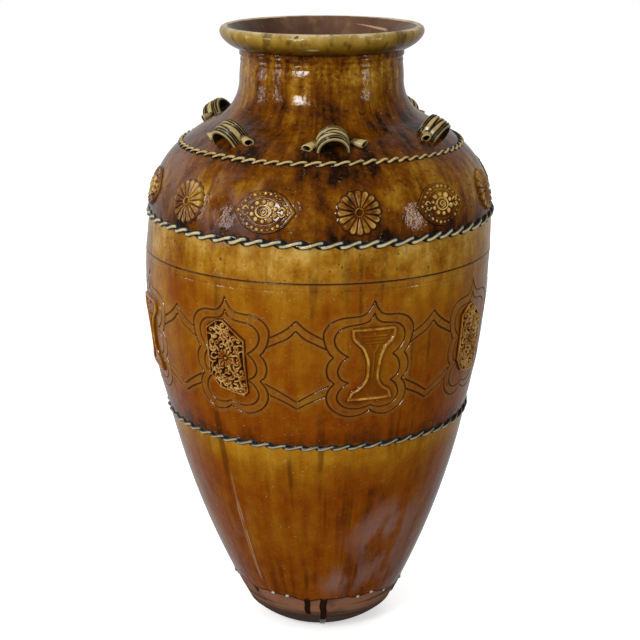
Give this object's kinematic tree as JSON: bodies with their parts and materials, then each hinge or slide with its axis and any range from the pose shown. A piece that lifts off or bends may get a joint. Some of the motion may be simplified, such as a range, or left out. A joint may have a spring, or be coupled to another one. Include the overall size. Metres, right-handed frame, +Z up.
{
  "type": "martaban jar",
  "caption": "Tall shouldered storage jar in streaked amber glaze, with a rolled lip, strap lugs round the neck, twisted rope bands and pressed floral sprigs on a tapering body.",
  "frame": {"origin": "centre of the base, on the floor", "axes": "+Z up the jar's axis; -Y is the side that the picture shows, with +X to its right"},
  "size_m": [0.4315, 0.4311, 0.7604],
  "materials": {
    "amber_glaze": "glossy honey-brown glaze with long vertical runs",
    "olive_glaze": "glossy olive-yellow glaze, thin on the edge",
    "rope_glaze": "buff on the ridges, blue-black where the glaze pools",
    "lug_glaze": "buff on the ridges, near black in the grooves",
    "sprig_glaze": "golden on the relief, dark brown in its hollows",
    "bare_clay": "dry, salmon-red fired clay"
  },
  "bodies": {
    "root": {"base_disc": "bare_clay", "lower_wall": "amber_glaze", "belly_wall": "amber_glaze", "shoulder_wall": "amber_glaze", "neck_wall": "amber_glaze", "rim_lip": "olive_glaze", "top_rope_strand_a": "rope_glaze", "top_rope_strand_b": "rope_glaze", "middle_rope_strand_a": "rope_glaze", "middle_rope_strand_b": "rope_glaze", "lower_rope_strand_a": "rope_glaze", "lower_rope_strand_b": "rope_glaze", "lug_1_strap": "lug_glaze", "lug_1_left_roll": "lug_glaze", "lug_1_right_roll": "lug_glaze", "lug_2_strap": "lug_glaze", "lug_2_left_roll": "lug_glaze", "lug_2_right_roll": "lug_glaze", "lug_3_strap": "lug_glaze", "lug_3_left_roll": "lug_glaze", "lug_3_right_roll": "lug_glaze", "lug_4_strap": "lug_glaze", "lug_4_left_roll": "lug_glaze", "lug_4_right_roll": "lug_glaze", "lug_5_strap": "lug_glaze", "lug_5_left_roll": "lug_glaze", "lug_5_right_roll": "lug_glaze", "lug_6_strap": "lug_glaze", "lug_6_left_roll": "lug_glaze", "lug_6_right_roll": "lug_glaze", "rosette_1": "sprig_glaze", "rosette_2": "sprig_glaze", "rosette_3": "sprig_glaze", "rosette_4": "sprig_glaze", "rosette_5": "sprig_glaze", "rosette_6": "sprig_glaze", "lozenge_1": "sprig_glaze", "lozenge_2": "sprig_glaze", "lozenge_3": "sprig_glaze", "lozenge_4": "sprig_glaze", "lozenge_5": "sprig_glaze", "lozenge_6": "sprig_glaze", "plaque_1": "sprig_glaze", "plaque_2": "sprig_glaze", "plaque_3": "sprig_glaze", "plaque_4": "sprig_glaze", "stand_1": "sprig_glaze", "stand_2": "sprig_glaze", "stand_3": "sprig_glaze", "stand_4": "sprig_glaze"}
  },
  "joints": []
}
